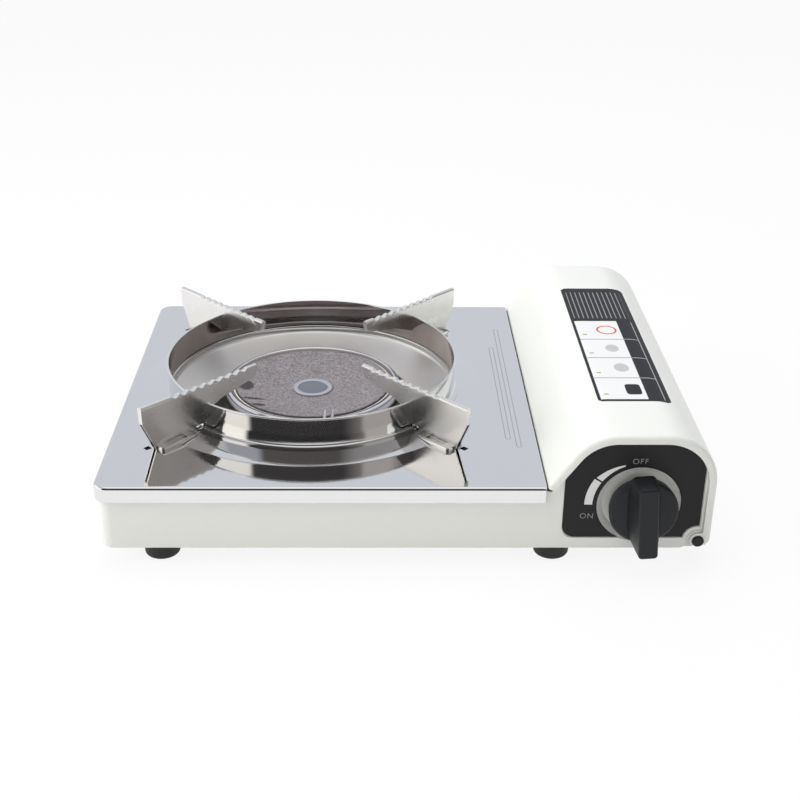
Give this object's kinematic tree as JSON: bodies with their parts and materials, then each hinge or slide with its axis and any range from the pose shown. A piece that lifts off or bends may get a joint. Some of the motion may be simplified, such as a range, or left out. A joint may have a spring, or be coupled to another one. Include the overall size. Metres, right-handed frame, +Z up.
{
  "type": "butane cassette stove",
  "caption": "Butane cassette stove: polished top plate, lift-off pan support with toothed arms, recessed mesh burner, arched hinged cartridge cover and a turn knob.",
  "frame": {"origin": "middle of the footprint, on the floor under the feet", "axes": "+X to the cartridge side (right), +Y to the rear, +Z up; the knob faces -Y"},
  "size_m": [0.3514, 0.2888, 0.0839],
  "materials": {
    "cream_paint": "smooth cream paint with a soft gloss",
    "polished_steel": "mirror-polished stainless steel",
    "satin_steel": "satin steel sheet",
    "mesh_steel": "dull grey-brown steel",
    "black_paint": "matt black paint",
    "black_plastic": "matt black",
    "white_plastic": "natural white",
    "black_rubber": "black rubber",
    "red_rubber": "red silicone sleeve",
    "brass": "plain brass",
    "cast_aluminium": "die-cast, as cast",
    "aluminium_sheet": "mill finish sheet",
    "ceramic": "opaque white ceramic, unglazed"
  },
  "bodies": {
    "base": {"base_tray": "cream_paint", "top_plate": "polished_steel", "burner_rim": "polished_steel", "burner_eyelet": "polished_steel", "burner_bowl": "satin_steel", "burner_cup": "satin_steel", "burner_stand": "satin_steel", "mixing_tube": "satin_steel", "can_partition": "satin_steel", "regulator_bracket": "satin_steel", "can_cradle_front": "satin_steel", "can_cradle_rear": "satin_steel", "electrode_rod": "satin_steel", "electrode_bracket": "satin_steel", "bracket_screws": "satin_steel", "panel_screws": "satin_steel", "burner_mesh": "mesh_steel", "magnet_ring": "mesh_steel", "control_panel": "black_paint", "igniter_body": "black_plastic", "hinge_pin_front": "black_plastic", "hinge_pin_rear": "black_plastic", "foot_front_left": "black_rubber", "foot_front_right": "black_rubber", "foot_rear_left": "black_rubber", "foot_rear_right": "black_rubber", "inlet_seal": "black_rubber", "ignition_wire": "red_rubber", "gas_jet": "brass", "gas_pipe": "brass", "pipe_nut": "brass", "regulator_body": "cast_aluminium", "heat_plate": "aluminium_sheet", "burner_plate": "ceramic", "electrode_insulator": "ceramic"},
    "cover": {"cover": "cream_paint"},
    "knob": {"knob": "black_plastic", "valve_spindle": "satin_steel", "igniter_cam": "white_plastic"},
    "plunger": {"igniter_plunger": "white_plastic"},
    "pan_support": {"pan_ring": "polished_steel", "pan_arm_front_left": "polished_steel", "pan_arm_front_right": "polished_steel", "pan_arm_rear_left": "polished_steel", "pan_arm_rear_right": "polished_steel"}
  },
  "joints": [
    {"name": "cover_hinge", "type": "hinge", "parent": "base", "child": "cover", "pos_m": [0.16835, 0.00865, 0.0163], "axis": [0, 1, 0], "range_deg": [0, 95]},
    {"name": "knob_turn", "type": "hinge", "parent": "base", "child": "knob", "pos_m": [0.13415, -0.12585, 0.0392], "axis": [0, -1, 0], "range_deg": [0, 94]},
    {"name": "plunger_slide", "type": "slide", "parent": "base", "child": "plunger", "axis": [-1, 0, 0], "range_m": [0, 0.006]},
    {"name": "pan_lift", "type": "slide", "parent": "base", "child": "pan_support", "axis": [0, 0, 1], "range_m": [0, 0.06]}
  ],
  "couplings": [
    {"joint": "plunger_slide", "follows": "knob_turn", "m_per_rad": 0.003657}
  ]
}
